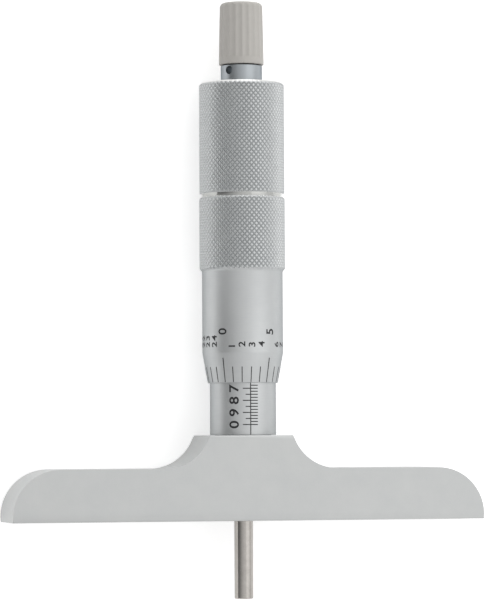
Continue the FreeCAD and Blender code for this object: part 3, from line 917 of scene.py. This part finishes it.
grip_profile = [
    (cavity_radius, grip_low.y),
    (grip_foot_radius - grip_edge_break, grip_low.y),
    (grip_foot_radius, grip_low.y + grip_edge_break),
    (grip_radius(flute_foot), flute_foot),
    (grip_radius(flute_foot), flute_foot + 0.02),
]
for share in (0.25, 0.5, 0.75):
    height = flute_foot + share * (grip_high.y - grip_round - flute_foot)
    grip_profile.append((grip_radius(height), height))
round_foot = grip_high.y - grip_round
for step in range(grip_round_steps + 1):
    angle = math.radians(90.0 * step / grip_round_steps)
    grip_profile.append((grip_radius(round_foot) - grip_round + grip_round * math.cos(angle),
                         round_foot + grip_round * math.sin(angle)))
grip_profile += [
    (well_radius + well_edge_break, grip_high.y),
    (well_radius, grip_high.y - well_edge_break),
    (well_radius, well_floor),
    (shank_hole_radius, well_floor),
    (shank_hole_radius, cavity_roof),
    (cavity_radius, cavity_roof),
]
grip_mesh = turned(grip_profile, flute_count * segments_per_flute, fluted)
grip = finished("ratchet_grip_sleeve", grip_mesh, [grip_grey], sharp=flute_sharp_angle)
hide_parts("ratchet_sleeve")
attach(grip, "ratchet_grip")


# ================================================================ inner pieces
# What the barrel hides or half hides: the inner sleeve and its nut, the hollow lead screw,
# the rod's nuts and spring, and the ratchet's ring, pin, spring, washer and screw.

# Hardened and ground steel of the threaded pieces: grey, fine and fairly bright.
ground_inner = satin_metal("hardened_ground_steel", "#A8A9A8", "#BBBBB9", 0.28, 1.5, 0.1,
                           (0.05, 1.0, 0.05), relief=0.005)
# Oil-blackened spring wire: dark, with a dull drawn shine.
spring_wire = satin_metal("oil_blackened_spring_wire", "#3F4145", "#5A5C60", 0.38, 0.6, 0.08,
                          (1.0, 1.0, 1.0), relief=0.004)
# Nickel plated small screws and washers: warm and bright.
nickel = satin_metal("nickel_plated_fastener", "#BDB9B0", "#CFCBC2", 0.24, 0.8, 0.07,
                     (1.0, 1.0, 1.0), relief=0.003)
inner_finishes = {
    ground_inner: ("inner_sleeve", "thread_adjusting_nut", "spindle", "thimble_lock_nut",
                   "rod_adjusting_nut", "rod_lock_nut", "clutch_ring", "clutch_key_pin"),
    spring_wire: ("rod_spring", "ratchet_spring"),
    nickel: ("rod_spring_seat", "ratchet_washer", "ratchet_screw"),
}
for material, members in inner_finishes.items():
    for member in members:
        nodes[member].data.materials.clear()
        nodes[member].data.materials.append(material)


# ================================================================ floor, light and camera
# A white sweep under the instrument, a soft sky that darkens to the left, as beside a flag,
# and lifts towards the foot and the head, and one broad lamp high on the right.

floor_mesh = bmesh.new()
floor_half = 1500.0
floor_level = cad_bounds[0][2] / MM
corners = [(-floor_half, -floor_half), (floor_half, -floor_half), (floor_half, floor_half),
           (-floor_half, floor_half)]
floor_mesh.faces.new([floor_mesh.verts.new((x, y, floor_level)) for x, y in corners])
paper = bpy.data.materials.new("white_paper_sweep")
paper.use_nodes = True
paper.node_tree.nodes.clear()
# The paper glows a little for the camera, and less in the metal, so it reads as white there.
glow_seen = 0.45
glow_mirrored = 0.25
path = add(paper.node_tree, "ShaderNodeLightPath", {}).outputs
seen = add(paper.node_tree, "ShaderNodeMath",
           {0: path["Is Camera Ray"], 1: path["Is Transmission Ray"]}, operation="ADD", use_clamp=True)
mirrored = add(paper.node_tree, "ShaderNodeMath", {0: path["Is Glossy Ray"], 1: glow_mirrored},
               operation="MULTIPLY")
own_light = add(paper.node_tree, "ShaderNodeMath",
                {0: seen.outputs[0], 1: glow_seen, 2: mirrored.outputs[0]}, operation="MULTIPLY_ADD")
lit = add(paper.node_tree, "ShaderNodeBsdfDiffuse", {"Color": srgb("#FAFAFA")})
white = add(paper.node_tree, "ShaderNodeEmission",
            {"Color": srgb("#FFFFFF"), "Strength": own_light.outputs[0]})
both = add(paper.node_tree, "ShaderNodeAddShader", {0: lit.outputs[0], 1: white.outputs[0]})
add(paper.node_tree, "ShaderNodeOutputMaterial", {"Surface": both.outputs[0]})
floor = finished("floor_sweep", floor_mesh, [paper])

world = bpy.data.worlds.new("studio_sky")
bpy.context.scene.world = world
world.use_nodes = True
sky = world.node_tree
sky.nodes.clear()
heading = add(sky, "ShaderNodeSeparateXYZ", {0: add(sky, "ShaderNodeTexCoord", {}).outputs["Generated"]})


def brightness_along(axis, stops):
    """The sky's level by how far a direction leans along an axis, from -1 to 1."""
    place = add(sky, "ShaderNodeMapRange",
                {"Value": heading.outputs[axis], "From Min": -1.0, "From Max": 1.0})
    ramp = add(sky, "ShaderNodeValToRGB", {0: place.outputs[0]})
    while len(ramp.color_ramp.elements) < len(stops):
        ramp.color_ramp.elements.new(0.5)
    for element, (lean, level) in zip(ramp.color_ramp.elements, stops):
        element.position = (lean + 1.0) / 2.0
        element.color = (level, level, level, 1.0)
    return ramp.outputs[0]


side_light = brightness_along(
    0, [(-1.0, 0.14), (-0.88, 0.2), (-0.76, 0.34), (-0.61, 0.52), (-0.44, 0.66), (-0.23, 0.78),
        (0.04, 0.9), (0.42, 1.0), (0.7, 0.98), (1.0, 0.85)])
foot_light = brightness_along(
    1, [(-1.0, 0.1), (-0.75, 0.5), (-0.45, 0.75), (-0.25, 0.5), (-0.1, 0.0), (1.0, 0.0)])
head_light = brightness_along(1, [(-1.0, 0.0), (0.5, 0.0), (0.85, 0.6), (1.0, 0.9)])
lifted = add(sky, "ShaderNodeMix", {0: foot_light, 6: side_light, 7: (0.85, 0.85, 0.85, 1.0)},
             data_type="RGBA")
level = add(sky, "ShaderNodeMix", {0: 1.0, 6: lifted.outputs[2], 7: head_light},
            data_type="RGBA", blend_type="ADD")
glow = add(sky, "ShaderNodeBackground", {"Color": level.outputs[2], "Strength": 1.0})
add(sky, "ShaderNodeOutputWorld", {"Surface": glow.outputs[0]})

lamp_data = bpy.data.lights.new("softbox", "AREA")
lamp_data.shape = "SQUARE"
lamp_data.size = 1.0
lamp_data.energy = 0.9
lamp = bpy.data.objects.new("softbox", lamp_data)
lamp.location = (0.75, 0.2, 1.0)
lamp_aim = Vector((0, 0.04, 0))
lamp.rotation_euler = (lamp_aim - lamp.location).to_track_quat("-Z", "Y").to_euler()
bpy.context.scene.collection.objects.link(lamp)

camera_data = bpy.data.cameras.new("camera")
camera_data.sensor_width = 36.0
camera_data.lens = 211.9
camera = bpy.data.objects.new("camera", camera_data)
yaw = math.radians(13.36)
pitch = math.radians(2.2)
roll = math.radians(-0.29)
forward = Vector((math.sin(yaw) * math.cos(pitch), math.sin(pitch), -math.cos(yaw) * math.cos(pitch)))
side = forward.cross(Vector((0, 1, 0))).normalized()
upward = side.cross(forward)
turn = Matrix((side, upward, -forward)).transposed() @ Matrix.Rotation(roll, 3, "Z")
camera_place = (-0.1727, 0.0179, 0.7295)
camera.matrix_world = Matrix.Translation(camera_place) @ turn.to_4x4()
bpy.context.scene.collection.objects.link(camera)
bpy.context.scene.camera = camera
bpy.context.scene.view_settings.view_transform = "Standard"
